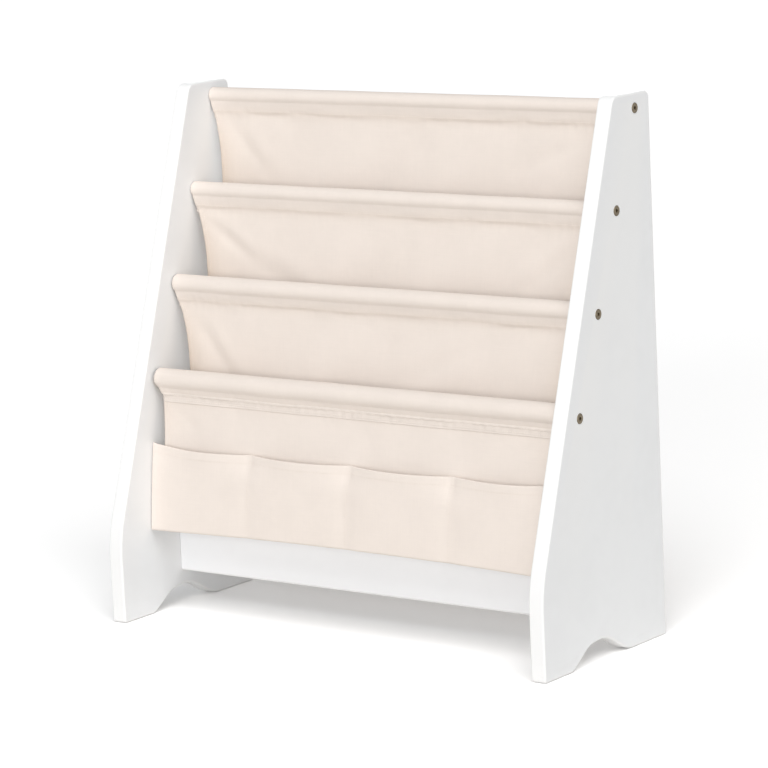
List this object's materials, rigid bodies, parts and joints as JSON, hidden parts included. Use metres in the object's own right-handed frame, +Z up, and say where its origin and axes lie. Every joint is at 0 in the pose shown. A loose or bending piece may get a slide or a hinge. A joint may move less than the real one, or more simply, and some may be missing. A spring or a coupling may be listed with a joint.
{
  "type": "sling bookshelf",
  "caption": "Children's sling bookshelf: painted side panels with arched feet, bolted rods carrying hanging canvas book pockets, a lower pouch and a tie board.",
  "frame": {"origin": "on the floor, under the middle of the shelf's bounding box", "axes": "+X to the right as seen from the front, +Y to the back, +Z up"},
  "size_m": [0.641, 0.254, 0.642],
  "materials": {
    "painted_board": "satin white paint on fibreboard",
    "rod_wood": "plain sanded",
    "dowel_wood": "fluted beech",
    "bronze": "dark bronze plated",
    "zinc": "zinc",
    "steel": "plain",
    "canvas": "natural cotton canvas"
  },
  "bodies": {
    "root": {"left_side_panel": "painted_board", "right_side_panel": "painted_board", "top_rod": "rod_wood", "top_rod_left_insert": "zinc", "top_rod_left_bolt": "bronze", "top_rod_right_insert": "zinc", "top_rod_right_bolt": "bronze", "upper_rod": "rod_wood", "upper_rod_left_insert": "zinc", "upper_rod_left_bolt": "bronze", "upper_rod_right_insert": "zinc", "upper_rod_right_bolt": "bronze", "middle_rod": "rod_wood", "middle_rod_left_insert": "zinc", "middle_rod_left_bolt": "bronze", "middle_rod_right_insert": "zinc", "middle_rod_right_bolt": "bronze", "lower_rod": "rod_wood", "lower_rod_left_insert": "zinc", "lower_rod_left_bolt": "bronze", "lower_rod_right_insert": "zinc", "lower_rod_right_bolt": "bronze", "lower_board": "painted_board", "board_left_cam": "zinc", "board_left_cam_bolt": "steel", "board_left_lower_dowel": "dowel_wood", "board_left_upper_dowel": "dowel_wood", "board_right_cam": "zinc", "board_right_cam_bolt": "steel", "board_right_lower_dowel": "dowel_wood", "board_right_upper_dowel": "dowel_wood", "top_sling_pocket": "canvas", "upper_sling_pocket": "canvas", "middle_sling_pocket": "canvas", "pouch_back": "canvas", "pouch_front": "canvas"}
  },
  "joints": []
}
